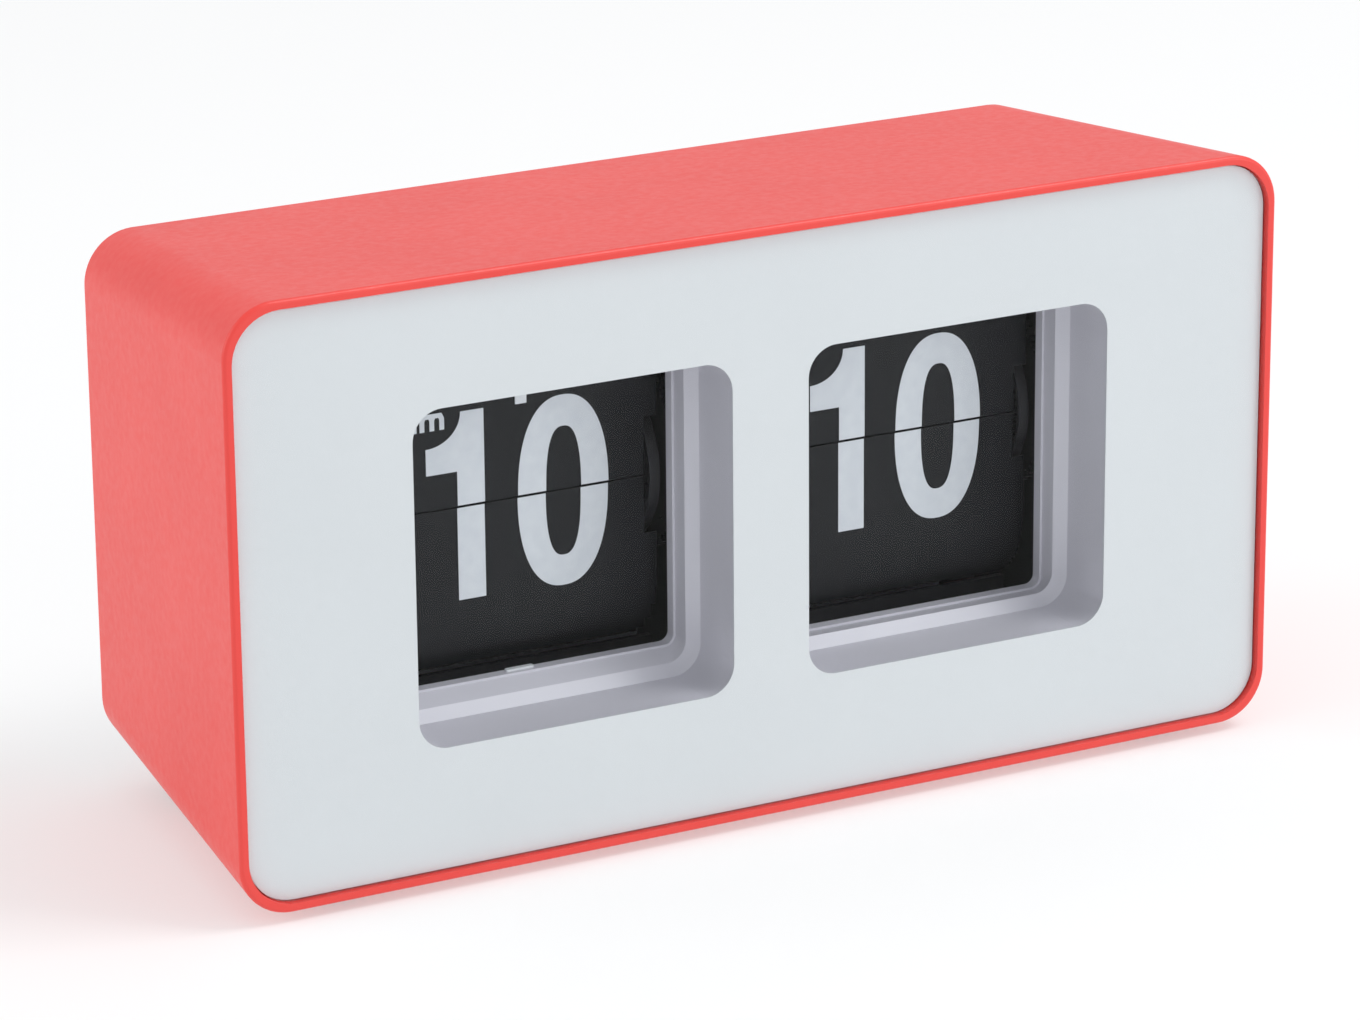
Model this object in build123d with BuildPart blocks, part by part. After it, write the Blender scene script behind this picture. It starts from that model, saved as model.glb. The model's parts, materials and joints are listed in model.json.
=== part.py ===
from build123d import *

import math
import os

# Flip number clock. Millimetres, +Z up, the front faces -Y, the origin is on the surface it stands on.
os.makedirs("parts", exist_ok=True)

# ---------------------------------------------------------------- case
CASE_WIDTH = 180.0
CASE_HEIGHT = 94.3
CASE_DEPTH = 66.0
CASE_DRAFT = 5.4  # each side is this much smaller at the back
CASE_CORNER = 8.3
CASE_WALL = 2.6
CASE_LIFT = 1.5  # front edge above the table
FRONT_Y = -CASE_DEPTH / 2
REAR_Y = CASE_DEPTH / 2
MID_Z = CASE_LIFT + CASE_HEIGHT / 2
GLASS_MARGIN = 1.4
GLASS_GAP = 0.25
GLASS_CORNER = 7.4
GLASS_Y = FRONT_Y + 0.2
GLASS_THICKNESS = 1.0
MASK_THICKNESS = 0.2
MASK_Y = GLASS_Y + GLASS_THICKNESS + 0.02
TAPE_Y = MASK_Y + MASK_THICKNESS
TAPE_THICKNESS = 0.4
LEDGE_Y = TAPE_Y + TAPE_THICKNESS
LEDGE_THICKNESS = 2.5
LEDGE_WIDTH = 162.8
LEDGE_HEIGHT = 77.2
REAR_LEDGE_Y = 26.8
COVER_Y = 28.5
COVER_THICKNESS = 2.0
COVER_WIDTH = 163.4
COVER_HEIGHT = 77.8
COVER_GAP = 0.3
BOSS_X = 78.3
BOSS_Z = 35.4
BOSS_RADIUS = 3.6

# ---------------------------------------------------------------- windows and bezel
WINDOW_X = 33.2  # each window's centre, left and right of the middle
WINDOW_Z = MID_Z + 0.2
WINDOW_WIDTH = 53.3
WINDOW_HEIGHT = 53.0
WINDOW_CORNER = 4.8
TUNNEL_WALL = 1.2
CHAMFER_Y = FRONT_Y + 12.4  # where the outer tunnel turns in
CHAMFER_SIZE = 1.6
LIP_Y = FRONT_Y + 19.1
LIP_INSET = 2.05
LIP_STEP = 0.35  # small step in front of the lip's straight band
LIP_BAND = 1.9
# how far each lip's opening reaches below its place on the centre line
HOUR_LIP_DROP = -1.4
MINUTE_LIP_DROP = 0.5

# ---------------------------------------------------------------- leaves and drums
AXLE_Y = 0.5
AXLE_Z = MID_Z + 3.7
AXLE_RADIUS = 1.5
RUNNING_GAP = 0.06
PIN_CIRCLE = 12.0
LEAF_THICKNESS = 0.18
LEAF_PITCH = 0.3  # least distance between two leaves at the front
LANDING_GAP = 0.25  # from the falling leaf, once down, to the leaf below it
LEAF_HALF_WIDTH = 24.2
NOTCH_HALF_WIDTH = 22.0
TAB_HALF_WIDTH = 0.25  # tab of the leaf's own sheet that carries a round pin
PIN_RADIUS = 0.35
PIN_ROOT = 22.4
PIN_REACH = 23.15
LEAN_START = 14.0
WHEEL_RADIUS = 13.25
WHEEL_INNER = 22.35  # wheel faces, from the leaf's centre
WHEEL_THICKNESS = 1.8
GROOVE_INNER = 11.0
GROOVE_OUTER = 12.65
GROOVE_DEPTH = 1.0
HUB_RADIUS = 4.0
HUB_END_RADIUS = 2.3
HOUR_LEAVES = 24
HOUR_TIP = 16.95
HOUR_TAIL = 1.42
HOUR_NOTCH = 7.9
MINUTE_LEAVES = 60
MINUTE_TIP = 18.1
MINUTE_TAIL = 0.47
MINUTE_NOTCH = 7.0

# ---------------------------------------------------------------- gears
MODULE = 0.5
ADDENDUM = 0.4
DEDENDUM = 0.6
TOOTH_AT_PITCH = 0.60
TOOTH_AT_TIP = 0.34
TOOTH_AT_ROOT = 0.86
MINUTE_PINION_TEETH = 14
COUNTER_GEAR_TEETH = 56
COUNTER_PINION_TEETH = 10
HOUR_GEAR_TEETH = 60
MINUTE_GEAR_TEETH = 60
REDUCTION_PINION_TEETH = 12
REDUCTION_GEAR_TEETH = 50
MOTOR_PINION_TEETH = 10
SETTING_GEAR_TEETH = 20
COUNTER_ANGLE = 60.0  # directions from shaft to shaft, from +Y towards +Z
REDUCTION_ANGLE = -75.0
SETTING_ANGLE = 0.0
MOTOR_ANGLE = 213.9

# ---------------------------------------------------------------- frame
BASE_Z = 9.4
BASE_THICKNESS = 2.0
SCREEN_Y = -3.0
SCREEN_THICKNESS = 1.2
SCREEN_START = 6.0
SCREEN_END = 58.6
HOUR_SCREEN_TOP = 23.0
MINUTE_SCREEN_TOP = 22.0
PLATE_THICKNESS = 2.0
SIDE_PLATE_X = 61.8  # inner face of each side plate
PLATE_TOP = 84.0
ROD_RADIUS = 1.5
RODS = ((-4.0, 80.6), (-7.5, 16.4), (22.5, 33.0))
SCREW_GAP = 0.06

# ---------------------------------------------------------------- battery
CELL_RADIUS = 7.1
CELL_LENGTH = 49.5
CELL_NUB = 1.0
CELL_Y = 20.5
CELL_Z = 18.6
HOLDER_WALL = 1.1
HOLDER_HALF_LENGTH = 55.6
DOOR_BOTTOM = 11.6
DOOR_TOP = 27.0
DOOR_HALF_WIDTH = 56.0
DOOR_GAP = 0.3

pieces = []


def finish(builder, label):
    """Label a finished piece and keep it for export."""
    builder.part.label = label
    pieces.append(builder.part)


def facing(y):
    """Plane parallel to the front at depth y, with local axes X and Z."""
    return Plane.XZ.offset(-y)


def across(x, y=0.0, z=0.0):
    """Plane square to the main axle at x, with local axes Y and Z."""
    return Plane(origin=(x, y, z), x_dir=(0, 1, 0), z_dir=(1, 0, 0))


def level(z):
    """Horizontal plane at height z."""
    return Plane.XY.offset(z)


def inset(y):
    """How far the tapered case has come in, each side, at depth y."""
    return CASE_DRAFT * (y - FRONT_Y) / CASE_DEPTH


def tapered_block(y_front, y_back, wall, mode=Mode.ADD):
    """The case's tapered outline between two depths, kept a wall's thickness inside its surface."""
    sections = []
    for y in (y_front, y_back):
        shrink = 2 * (inset(y) + wall)
        with BuildSketch(facing(y)) as section:
            with Locations((0, MID_Z)):
                RectangleRounded(CASE_WIDTH - shrink, CASE_HEIGHT - shrink, CASE_CORNER - wall)
        sections.append(section.sketch)
    loft(sections, ruled=True, mode=mode)


def slab(y_front, y_back, width, height, radius, centres, mode=Mode.ADD):
    """Rounded rectangles of one thickness, square to the front."""
    with BuildSketch(facing(y_front)) as profile:
        with Locations(*centres):
            RectangleRounded(width, height, radius)
    extrude(profile.sketch, amount=y_front - y_back, mode=mode)


def discs(x_start, x_end, radius, centres, mode=Mode.ADD):
    """Round bars along X between two places, centred at (y, z) points."""
    with BuildSketch(across(x_start)) as profile:
        with Locations(*centres):
            Circle(radius)
    extrude(profile.sketch, amount=x_end - x_start, mode=mode)


def screws(heads, direction, length, shank=1.0, head=1.9, head_height=1.2):
    """Pan head screws: each head rests at its point and the shank runs along direction."""
    for point in heads:
        seat = Plane(origin=point, z_dir=direction)
        with BuildSketch(seat) as shank_profile:
            Circle(shank)
        extrude(shank_profile.sketch, amount=length)
        with BuildSketch(seat) as head_profile:
            Circle(head)
        extrude(head_profile.sketch, amount=-head_height)
        with BuildSketch(seat.offset(-head_height)) as cross_profile:
            Rectangle(2 * head * 0.7, 0.45)
            Rectangle(0.45, 2 * head * 0.7)
        extrude(cross_profile.sketch, amount=0.6, mode=Mode.SUBTRACT)


def shaft_from(start, angle, teeth_a, teeth_b):
    """Where the shaft meshing with the one at start stands, in (y, z)."""
    distance = MODULE * (teeth_a + teeth_b) / 2
    turn = math.radians(angle)
    return (start[0] + distance * math.cos(turn), start[1] + distance * math.sin(turn))


def mesh_phase(teeth, phase, angle, other_teeth):
    """Angle of a tooth on the other gear so that it meshes with this gear in that direction."""
    pitch = 360.0 / teeth
    ahead = (phase - angle + pitch / 2) % pitch - pitch / 2
    return angle + 180.0 + 180.0 / other_teeth - ahead * teeth / other_teeth


def gear(x_start, x_end, centre, teeth, phase, bore):
    """Spur gear with straight-flanked teeth and a bore, with its first tooth at angle phase."""
    pitch_radius = MODULE * teeth / 2
    flank = (
        (pitch_radius - DEDENDUM, -TOOTH_AT_ROOT),
        (pitch_radius, -TOOTH_AT_PITCH),
        (pitch_radius + ADDENDUM, -TOOTH_AT_TIP),
        (pitch_radius + ADDENDUM, TOOTH_AT_TIP),
        (pitch_radius, TOOTH_AT_PITCH),
        (pitch_radius - DEDENDUM, TOOTH_AT_ROOT),
    )
    outline = []
    for tooth in range(teeth):
        middle = math.radians(phase) + 2 * math.pi * tooth / teeth
        for radius, width in flank:
            turn = middle + width / 2 / radius
            outline.append((radius * math.cos(turn), radius * math.sin(turn)))
    with BuildSketch(across(x_start, *centre)) as profile:
        with BuildLine():
            Polyline(*outline, close=True)
        make_face()
        Circle(bore, mode=Mode.SUBTRACT)
    extrude(profile.sketch, amount=x_end - x_start)


# Shafts, as (y, z), and the angle of one tooth on each gear.
AXLE = (AXLE_Y, AXLE_Z)
COUNTER = shaft_from(AXLE, COUNTER_ANGLE, MINUTE_PINION_TEETH, COUNTER_GEAR_TEETH)
REDUCTION = shaft_from(AXLE, REDUCTION_ANGLE, MINUTE_GEAR_TEETH, REDUCTION_PINION_TEETH)
SETTING = shaft_from(AXLE, SETTING_ANGLE, MINUTE_GEAR_TEETH, SETTING_GEAR_TEETH)
MOTOR = shaft_from(REDUCTION, MOTOR_ANGLE, REDUCTION_GEAR_TEETH, MOTOR_PINION_TEETH)
COUNTER_GEAR_PHASE = mesh_phase(MINUTE_PINION_TEETH, 0.0, COUNTER_ANGLE, COUNTER_GEAR_TEETH)
COUNTER_PINION_PHASE = mesh_phase(HOUR_GEAR_TEETH, 0.0, COUNTER_ANGLE, COUNTER_PINION_TEETH)
REDUCTION_PINION_PHASE = mesh_phase(MINUTE_GEAR_TEETH, 0.0, REDUCTION_ANGLE, REDUCTION_PINION_TEETH)
SETTING_GEAR_PHASE = mesh_phase(MINUTE_GEAR_TEETH, 0.0, SETTING_ANGLE, SETTING_GEAR_TEETH)
MOTOR_PINION_PHASE = mesh_phase(REDUCTION_GEAR_TEETH, 0.0, MOTOR_ANGLE, MOTOR_PINION_TEETH)
CORNERS = ((-1, -1), (1, -1), (-1, 1), (1, 1))

# ================================================================ case and front
GLASS_WIDTH = CASE_WIDTH - 2 * GLASS_MARGIN - 2 * GLASS_GAP
GLASS_HEIGHT = CASE_HEIGHT - 2 * GLASS_MARGIN - 2 * GLASS_GAP
REBATE_WIDTH = GLASS_WIDTH + 2 * GLASS_GAP
REBATE_HEIGHT = GLASS_HEIGHT + 2 * GLASS_GAP
LEDGE_BACK = LEDGE_Y + LEDGE_THICKNESS
MIDDLE = ((0, MID_Z),)
WINDOWS = ((-WINDOW_X, WINDOW_Z), (WINDOW_X, WINDOW_Z))
COVER_SCREWS = tuple((sx * BOSS_X, MID_Z + sz * BOSS_Z) for sx, sz in CORNERS)
BEZEL_SCREWS = tuple((sx * 83.8, MID_Z + sz * 27.0) for sx, sz in CORNERS)
BASE_POSTS = tuple((sx * 68.0, y) for sx in (-1, 1) for y in (-18.0, 6.0))
POST_RADIUS = 3.2
PILOT_RADIUS = 1.0 + SCREW_GAP

with BuildPart() as case_shell:
    tapered_block(FRONT_Y, REAR_Y, 0.0)
    fillet(case_shell.edges().group_by(Axis.Y)[0], radius=0.6)
    fillet(case_shell.edges().group_by(Axis.Y)[-1], radius=1.0)
    slab(FRONT_Y, LEDGE_Y, REBATE_WIDTH, REBATE_HEIGHT, GLASS_CORNER + GLASS_GAP, MIDDLE, Mode.SUBTRACT)
    slab(LEDGE_Y, LEDGE_BACK, LEDGE_WIDTH, LEDGE_HEIGHT, 4.0, MIDDLE, Mode.SUBTRACT)
    tapered_block(LEDGE_BACK, REAR_LEDGE_Y, CASE_WALL, Mode.SUBTRACT)
    slab(REAR_LEDGE_Y, COVER_Y, COVER_WIDTH - 4.0, COVER_HEIGHT - 4.0, 4.0, MIDDLE, Mode.SUBTRACT)
    slab(
        COVER_Y,
        REAR_Y,
        COVER_WIDTH + 2 * COVER_GAP,
        COVER_HEIGHT + 2 * COVER_GAP,
        5.5,
        MIDDLE,
        Mode.SUBTRACT,
    )
    # bosses for the rear cover's screws
    with BuildSketch(facing(COVER_Y - 10.0)):
        with Locations(*COVER_SCREWS):
            Circle(BOSS_RADIUS)
    extrude(amount=-10.0)
    with BuildSketch(facing(COVER_Y - 8.0)):
        with Locations(*COVER_SCREWS):
            Circle(PILOT_RADIUS)
    extrude(amount=-8.0, mode=Mode.SUBTRACT)
    # screw holes for the bezel, in the back of the front ledge
    with BuildSketch(facing(LEDGE_Y + 0.4)):
        with Locations(*BEZEL_SCREWS):
            Circle(PILOT_RADIUS)
    extrude(amount=-LEDGE_THICKNESS, mode=Mode.SUBTRACT)
    # posts that carry the base plate
    with BuildSketch(level(5.1)):
        with Locations(*BASE_POSTS):
            Circle(POST_RADIUS)
    extrude(amount=BASE_Z - 5.1)
    with BuildSketch(level(BASE_Z - 2.6)):
        with Locations(*BASE_POSTS):
            Circle(PILOT_RADIUS)
    extrude(amount=2.6, mode=Mode.SUBTRACT)
    # gap in the rear ledge where the battery holder passes
    with BuildSketch(facing(REAR_LEDGE_Y)):
        with Locations((0, DOOR_BOTTOM - 0.4)):
            Rectangle(2 * HOLDER_HALF_LENGTH + 1.6, 3.2)
    extrude(amount=REAR_LEDGE_Y - COVER_Y, mode=Mode.SUBTRACT)
finish(case_shell, "case_shell")

with BuildPart() as front_glass:
    slab(GLASS_Y, GLASS_Y + GLASS_THICKNESS, GLASS_WIDTH, GLASS_HEIGHT, GLASS_CORNER, MIDDLE)
    chamfer(front_glass.edges().group_by(Axis.Y)[0], length=0.25)
finish(front_glass, "front_glass")

with BuildPart() as front_mask:
    slab(MASK_Y, TAPE_Y, GLASS_WIDTH, GLASS_HEIGHT, GLASS_CORNER, MIDDLE)
    slab(MASK_Y, TAPE_Y, WINDOW_WIDTH, WINDOW_HEIGHT, WINDOW_CORNER, WINDOWS, Mode.SUBTRACT)
finish(front_mask, "front_mask")

with BuildPart() as glass_tape:
    slab(TAPE_Y, LEDGE_Y, GLASS_WIDTH - 2.0, GLASS_HEIGHT - 2.0, GLASS_CORNER - 1.0, MIDDLE)
    slab(TAPE_Y, LEDGE_Y, LEDGE_WIDTH + 1.0, LEDGE_HEIGHT + 1.0, 4.5, MIDDLE, Mode.SUBTRACT)
finish(glass_tape, "glass_tape")

PLATE_FRONT = TAPE_Y + 0.1
OUTER_WIDTH = WINDOW_WIDTH + 0.3
OUTER_HEIGHT = WINDOW_HEIGHT + 0.3
LIP_WIDTH = WINDOW_WIDTH - 2 * LIP_INSET
LIP_TOP = WINDOW_Z + WINDOW_HEIGHT / 2 - LIP_INSET
HOUR_LIP_BOTTOM = WINDOW_Z - WINDOW_HEIGHT / 2 + LIP_INSET - HOUR_LIP_DROP
MINUTE_LIP_BOTTOM = WINDOW_Z - WINDOW_HEIGHT / 2 + LIP_INSET - MINUTE_LIP_DROP
LIP_SPANS = ((-WINDOW_X, HOUR_LIP_BOTTOM), (WINDOW_X, MINUTE_LIP_BOTTOM))
LIP_OUTER_Z = (LIP_TOP + MINUTE_LIP_BOTTOM) / 2
COVE_WIDTH = WINDOW_WIDTH - 2 * CHAMFER_SIZE
COVE_HEIGHT = WINDOW_HEIGHT - 2 * CHAMFER_SIZE
SHOULDER_Y = CHAMFER_Y + CHAMFER_SIZE

with BuildPart() as window_bezel:
    slab(PLATE_FRONT, LEDGE_BACK, LEDGE_WIDTH - 0.6, LEDGE_HEIGHT - 0.6, 3.7, MIDDLE)
    slab(LEDGE_BACK, LEDGE_BACK + 1.5, 172.6, 86.8, 4.5, MIDDLE)
    slab(
        LEDGE_BACK,
        SHOULDER_Y,
        OUTER_WIDTH + 2 * TUNNEL_WALL,
        OUTER_HEIGHT + 2 * TUNNEL_WALL,
        WINDOW_CORNER + TUNNEL_WALL,
        WINDOWS,
    )
    slab(
        SHOULDER_Y,
        LIP_Y,
        LIP_WIDTH + 2 * TUNNEL_WALL,
        LIP_TOP - MINUTE_LIP_BOTTOM + 2 * TUNNEL_WALL,
        2.4,
        ((-WINDOW_X, LIP_OUTER_Z), (WINDOW_X, LIP_OUTER_Z)),
    )
    # outer tunnel, straight
    slab(PLATE_FRONT, CHAMFER_Y, OUTER_WIDTH, OUTER_HEIGHT, WINDOW_CORNER, WINDOWS, Mode.SUBTRACT)
    # shoulder that turns in, then the cove down to the lip
    for x, bottom in LIP_SPANS:
        lip_height = LIP_TOP - bottom
        lip_z = bottom + lip_height / 2
        for sections in (
            (
                (CHAMFER_Y, WINDOW_Z, OUTER_WIDTH, OUTER_HEIGHT, WINDOW_CORNER),
                (SHOULDER_Y, WINDOW_Z, COVE_WIDTH, COVE_HEIGHT, 3.2),
            ),
            (
                (SHOULDER_Y, WINDOW_Z, COVE_WIDTH, COVE_HEIGHT, 3.2),
                (LIP_Y - LIP_BAND, lip_z, LIP_WIDTH + 2 * LIP_STEP, lip_height + 2 * LIP_STEP, 1.9),
            ),
        ):
            for y, z, width, height, corner in sections:
                with BuildSketch(facing(y)):
                    with Locations((x, z)):
                        RectangleRounded(width, height, corner)
            loft(ruled=True, mode=Mode.SUBTRACT)
        slab(LIP_Y - LIP_BAND, LIP_Y, LIP_WIDTH, lip_height, 1.6, ((x, lip_z),), Mode.SUBTRACT)
    # screw holes in the wide flange
    with BuildSketch(facing(LEDGE_BACK)):
        with Locations(*BEZEL_SCREWS):
            Circle(PILOT_RADIUS)
    extrude(amount=-1.5, mode=Mode.SUBTRACT)
finish(window_bezel, "window_bezel")

with BuildPart() as bezel_screws:
    heads = [(x, LEDGE_BACK + 1.5, z) for x, z in BEZEL_SCREWS]
    screws(heads, (0, -1, 0), 3.2)
finish(bezel_screws, "bezel_screws")

with BuildPart() as leaf_rest:
    with BuildSketch(level(HOUR_LIP_BOTTOM)):
        with Locations((-WINDOW_X - 1.5, LIP_Y - 0.6)):
            RectangleRounded(4.7, 0.9, 0.25)
    extrude(amount=0.3)
finish(leaf_rest, "leaf_rest")

# ================================================================ rear cover, door, feet
SETTING_WHEEL_X = 67.6
SETTING_WHEEL_WIDTH = 4.4
SETTING_WHEEL_RADIUS = 12.0
SLOT_X = SETTING_WHEEL_X + SETTING_WHEEL_WIDTH / 2
SLOT_WIDTH = 5.6
SLOT_HEIGHT = 20.0

with BuildPart() as rear_cover:
    slab(COVER_Y, COVER_Y + COVER_THICKNESS, COVER_WIDTH, COVER_HEIGHT, 5.2, MIDDLE)
    # battery opening, with two slots for the door's hooks
    with BuildSketch(facing(COVER_Y)):
        with Locations((0, (DOOR_BOTTOM + DOOR_TOP) / 2)):
            Rectangle(2 * DOOR_HALF_WIDTH, DOOR_TOP - DOOR_BOTTOM)
    extrude(amount=-COVER_THICKNESS, mode=Mode.SUBTRACT)
    # slot that the setting wheel looks out of
    with BuildSketch(facing(COVER_Y)):
        with Locations((SLOT_X, SETTING[1])):
            RectangleRounded(SLOT_WIDTH, SLOT_HEIGHT, 1.0)
    extrude(amount=-COVER_THICKNESS, mode=Mode.SUBTRACT)
    # air slots
    with BuildSketch(facing(COVER_Y)):
        with Locations((-30, MID_Z + 16)):
            with GridLocations(0, 4.0, 1, 6):
                SlotOverall(36.0, 1.6)
    extrude(amount=-COVER_THICKNESS, mode=Mode.SUBTRACT)
    # screw holes with sunk heads
    with BuildSketch(facing(COVER_Y)):
        with Locations(*COVER_SCREWS):
            Circle(PILOT_RADIUS)
    extrude(amount=-COVER_THICKNESS, mode=Mode.SUBTRACT)
    with BuildSketch(facing(COVER_Y + COVER_THICKNESS - 1.2)):
        with Locations(*COVER_SCREWS):
            Circle(2.2)
    extrude(amount=-1.2, mode=Mode.SUBTRACT)
finish(rear_cover, "rear_cover")

with BuildPart() as rear_cover_screws:
    heads = [(x, COVER_Y + COVER_THICKNESS - 1.2, z) for x, z in COVER_SCREWS]
    screws(heads, (0, -1, 0), 7.5)
finish(rear_cover_screws, "rear_cover_screws")

DOOR_HINGE_Z = DOOR_BOTTOM + 1.3

with BuildPart() as battery_door:
    with BuildSketch(facing(COVER_Y + 0.2)):
        with Locations((0, (DOOR_HINGE_Z + DOOR_TOP - DOOR_GAP) / 2)):
            Rectangle(2 * (DOOR_HALF_WIDTH - DOOR_GAP), DOOR_TOP - DOOR_GAP - DOOR_HINGE_Z)
    extrude(amount=-1.8)
    # rolled hinge edge along the bottom
    discs(
        -DOOR_HALF_WIDTH + DOOR_GAP,
        DOOR_HALF_WIDTH - DOOR_GAP,
        0.9,
        ((COVER_Y + 1.1, DOOR_HINGE_Z),),
    )
    # finger grip ribs
    with BuildSketch(facing(COVER_Y + COVER_THICKNESS)):
        with Locations((0, DOOR_TOP - 3.2)):
            with GridLocations(0, 1.4, 1, 3):
                SlotOverall(16.0, 0.7)
    extrude(amount=-0.5)
    # latch tongue on the inside
    with BuildSketch(level(DOOR_TOP - 4.2)):
        with Locations((0, COVER_Y - 0.4)):
            Rectangle(10.0, 1.4)
    extrude(amount=2.6)
finish(battery_door, "battery_door")

with BuildPart() as feet:
    with BuildSketch(level(0)):
        with Locations(*[(sx * 72.0, y) for sx in (-1, 1) for y in (-23.0, 23.0)]):
            Circle(5.0)
    extrude(amount=12.0)
    tapered_block(FRONT_Y, REAR_Y, 0.0, Mode.SUBTRACT)
    chamfer(feet.edges().group_by(Axis.Z)[0], length=0.4)
finish(feet, "feet")

# ================================================================ movement frame
with BuildPart() as base_plate:
    with BuildSketch(level(BASE_Z)):
        with Locations((0, -6.3)):
            RectangleRounded(146.0, 35.0, 3.0)
        with Locations(*BASE_POSTS):
            Circle(PILOT_RADIUS, mode=Mode.SUBTRACT)
    extrude(amount=BASE_THICKNESS)
    # upright walls under the leaves, which close the view into the back of the clock
    for side, top in ((-1, HOUR_SCREEN_TOP), (1, MINUTE_SCREEN_TOP)):
        with BuildSketch(level(BASE_Z)):
            with Locations((side * (SCREEN_START + SCREEN_END) / 2, SCREEN_Y)):
                Rectangle(SCREEN_END - SCREEN_START, SCREEN_THICKNESS)
        extrude(amount=top - BASE_Z)
finish(base_plate, "base_plate")

with BuildPart() as base_screws:
    heads = [(x, y, BASE_Z + BASE_THICKNESS) for x, y in BASE_POSTS]
    screws(heads, (0, 0, -1), 4.4)
finish(base_screws, "base_screws")

BASE_TOP = BASE_Z + BASE_THICKNESS
PLATE_OUTLINE = (
    (-12.0, BASE_TOP),
    (11.0, BASE_TOP),
    (11.0, 28.0),
    (26.5, 28.0),
    (26.5, 60.0),
    (14.0, PLATE_TOP),
    (-12.0, PLATE_TOP),
)
SETTING_SHAFT_RADIUS = 1.25
ARBOR_RADIUS = 1.0


def frame_plate(x_start, arbors):
    """Upright plate standing on the base, bored for the main axle, the tie rods and other shafts."""
    with BuildSketch(across(x_start)) as profile:
        with BuildLine():
            Polyline(*PLATE_OUTLINE, close=True)
        make_face()
        fillet(profile.vertices().sort_by(Axis.Z)[2:], radius=2.5)
        with Locations(AXLE):
            Circle(AXLE_RADIUS, mode=Mode.SUBTRACT)
        with Locations(*RODS):
            Circle(ROD_RADIUS, mode=Mode.SUBTRACT)
        for centre, radius in arbors:
            with Locations(centre):
                Circle(radius + RUNNING_GAP, mode=Mode.SUBTRACT)
    extrude(profile.sketch, amount=PLATE_THICKNESS)


BOARD_THICKNESS = 1.2
BOARD_X = -SIDE_PLATE_X - PLATE_THICKNESS - 3.0 - BOARD_THICKNESS
BOARD_PEGS = ((-6.0, 34.0), (18.0, 34.0))

with BuildPart() as frame_left_plate:
    frame_plate(-SIDE_PLATE_X - PLATE_THICKNESS, ())
    # stand-offs for the circuit board, with pegs melted over on its far side
    discs(BOARD_X + BOARD_THICKNESS, -SIDE_PLATE_X - PLATE_THICKNESS, 2.2, BOARD_PEGS)
    discs(BOARD_X, BOARD_X + BOARD_THICKNESS, 0.9, BOARD_PEGS)
    discs(BOARD_X - 0.7, BOARD_X, 1.6, BOARD_PEGS)
finish(frame_left_plate, "frame_left_plate")

BEARING_BOSS = 2.2

with BuildPart() as frame_center_plate:
    frame_plate(-PLATE_THICKNESS / 2, ((COUNTER, ARBOR_RADIUS),))
    # long bearing for the counter shaft
    for x_start, x_end in ((-1.0 - BEARING_BOSS, -1.0), (1.0, 1.0 + BEARING_BOSS)):
        with BuildSketch(across(x_start, *COUNTER)):
            Circle(2.4)
            Circle(ARBOR_RADIUS + RUNNING_GAP, mode=Mode.SUBTRACT)
        extrude(amount=x_end - x_start)
finish(frame_center_plate, "frame_center_plate")

MOTOR_POSTS = ((MOTOR[0] - 9.0, MOTOR[1] + 9.0), (MOTOR[0] + 10.0, MOTOR[1] - 9.6))
MOTOR_X = 67.6
MOTOR_RADIUS = 9.6
SIDE_OUTER = SIDE_PLATE_X + PLATE_THICKNESS
GEAR_X = SIDE_PLATE_X - 2.4  # drive gear, between the minute leaves and the right plate

with BuildPart() as frame_right_plate:
    frame_plate(SIDE_PLATE_X, ((REDUCTION, ARBOR_RADIUS), (SETTING, SETTING_SHAFT_RADIUS)))
    # wing and stand-offs that carry the motor
    with BuildSketch(across(SIDE_PLATE_X)):
        with Locations((-13.3, 34.0)):
            RectangleRounded(10.6, 20.0, 2.0)
    extrude(amount=PLATE_THICKNESS)
    discs(SIDE_OUTER, MOTOR_X, 2.0, MOTOR_POSTS)
    discs(SIDE_OUTER, MOTOR_X, 0.8 + SCREW_GAP, MOTOR_POSTS, Mode.SUBTRACT)
finish(frame_right_plate, "frame_right_plate")

with BuildPart() as tie_rods:
    discs(-SIDE_OUTER, SIDE_OUTER, ROD_RADIUS, RODS)
finish(tie_rods, "tie_rods")

with BuildPart() as tie_rod_nuts:
    for x_start in (-SIDE_OUTER - 1.4, SIDE_OUTER):
        with BuildSketch(across(x_start)):
            with Locations(*RODS):
                RegularPolygon(2.4, 6)
        extrude(amount=1.4)
finish(tie_rod_nuts, "tie_rod_nuts")

with BuildPart() as main_axle:
    discs(-SIDE_OUTER - 2.0, SIDE_OUTER + 2.0, AXLE_RADIUS, (AXLE,))
    # grooves for the clips
    for x_start in (-SIDE_OUTER - 1.0, SIDE_OUTER + 0.4):
        with BuildSketch(across(x_start, *AXLE)):
            Circle(AXLE_RADIUS)
            Circle(1.1, mode=Mode.SUBTRACT)
        extrude(amount=0.6, mode=Mode.SUBTRACT)
finish(main_axle, "main_axle")

with BuildPart() as axle_clips:
    for x_start in (-SIDE_OUTER - 0.95, SIDE_OUTER + 0.45):
        with BuildSketch(across(x_start, *AXLE)):
            Circle(2.7)
            Circle(1.1, mode=Mode.SUBTRACT)
            with Locations((0, -1.6)):
                Rectangle(1.8, 2.6, mode=Mode.SUBTRACT)
        extrude(amount=0.5)
finish(axle_clips, "axle_clips")


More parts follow.
